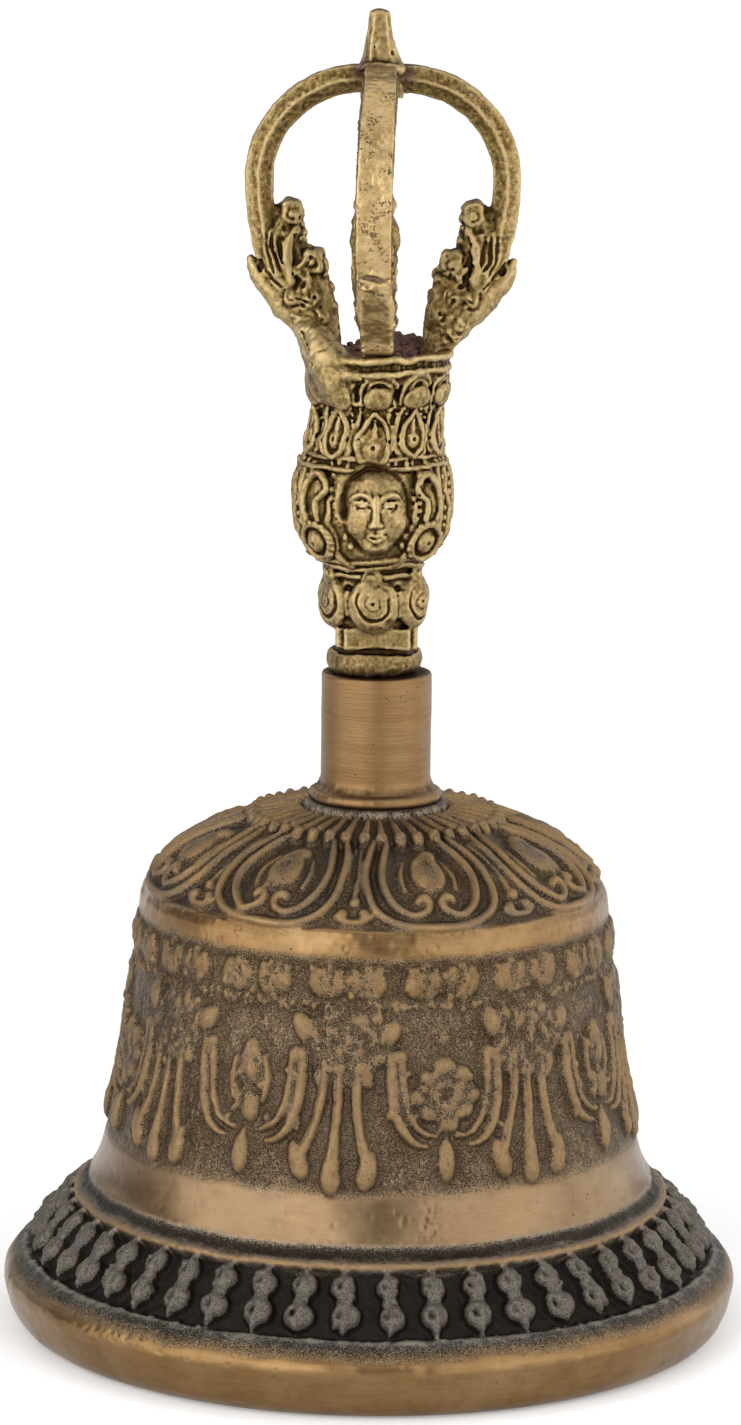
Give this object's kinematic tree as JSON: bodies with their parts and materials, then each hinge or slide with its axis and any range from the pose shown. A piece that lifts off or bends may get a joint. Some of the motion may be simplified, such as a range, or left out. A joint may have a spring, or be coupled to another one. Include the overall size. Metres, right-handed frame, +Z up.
{
  "type": "tibetan hand bell",
  "caption": "Flared bronze hand bell with relief bands, a turned neck and a cast brass handle: a crowned head under an open pronged cage; a clapper hangs inside from a ring.",
  "frame": {"origin": "centre of the rim's flat foot, on the surface that the bell stands on", "axes": "+Z up along the bell's axis, -Y towards the face on the handle, +X to the viewer's right"},
  "size_m": [0.095, 0.095, 0.1692],
  "materials": {
    "bell_bronze": "cast bell bronze, dark patina in the relief, polished on the high places",
    "neck_bronze": "turned bronze with fine tool lines round it",
    "cast_brass": "rough yellow cast brass, dark in the hollows",
    "pale_brass": "filed pale brass",
    "cement": "dark red-brown crusty resin cement",
    "steel": "plain dull steel",
    "iron_wire": "bent iron wire",
    "clapper_bronze": "turned bronze, worn where it strikes"
  },
  "bodies": {
    "bell": {"bell_body": "bell_bronze", "neck_sleeve": "neck_bronze", "handle_head": "cast_brass", "cup_cement": "cement", "prong_left": "cast_brass", "prong_right": "cast_brass", "prong_front": "pale_brass", "prong_back": "cast_brass", "vajra_tip": "cast_brass", "tie_rod": "steel", "crown_washer": "steel", "eye_nut": "steel"},
    "link": {"clapper_link": "iron_wire"},
    "clapper": {"clapper_stem": "iron_wire", "clapper_knob": "clapper_bronze"}
  },
  "joints": [
    {"name": "link_swing", "type": "hinge", "parent": "bell", "child": "link", "pos_m": [0, 0, 0.0521], "axis": [0, 1, 0], "range_deg": [-31.5, 31.5]},
    {"name": "clapper_swing", "type": "hinge", "parent": "link", "child": "clapper", "pos_m": [0, 0, 0.047], "axis": [1, 0, 0], "range_deg": [-31.5, 31.5]}
  ]
}
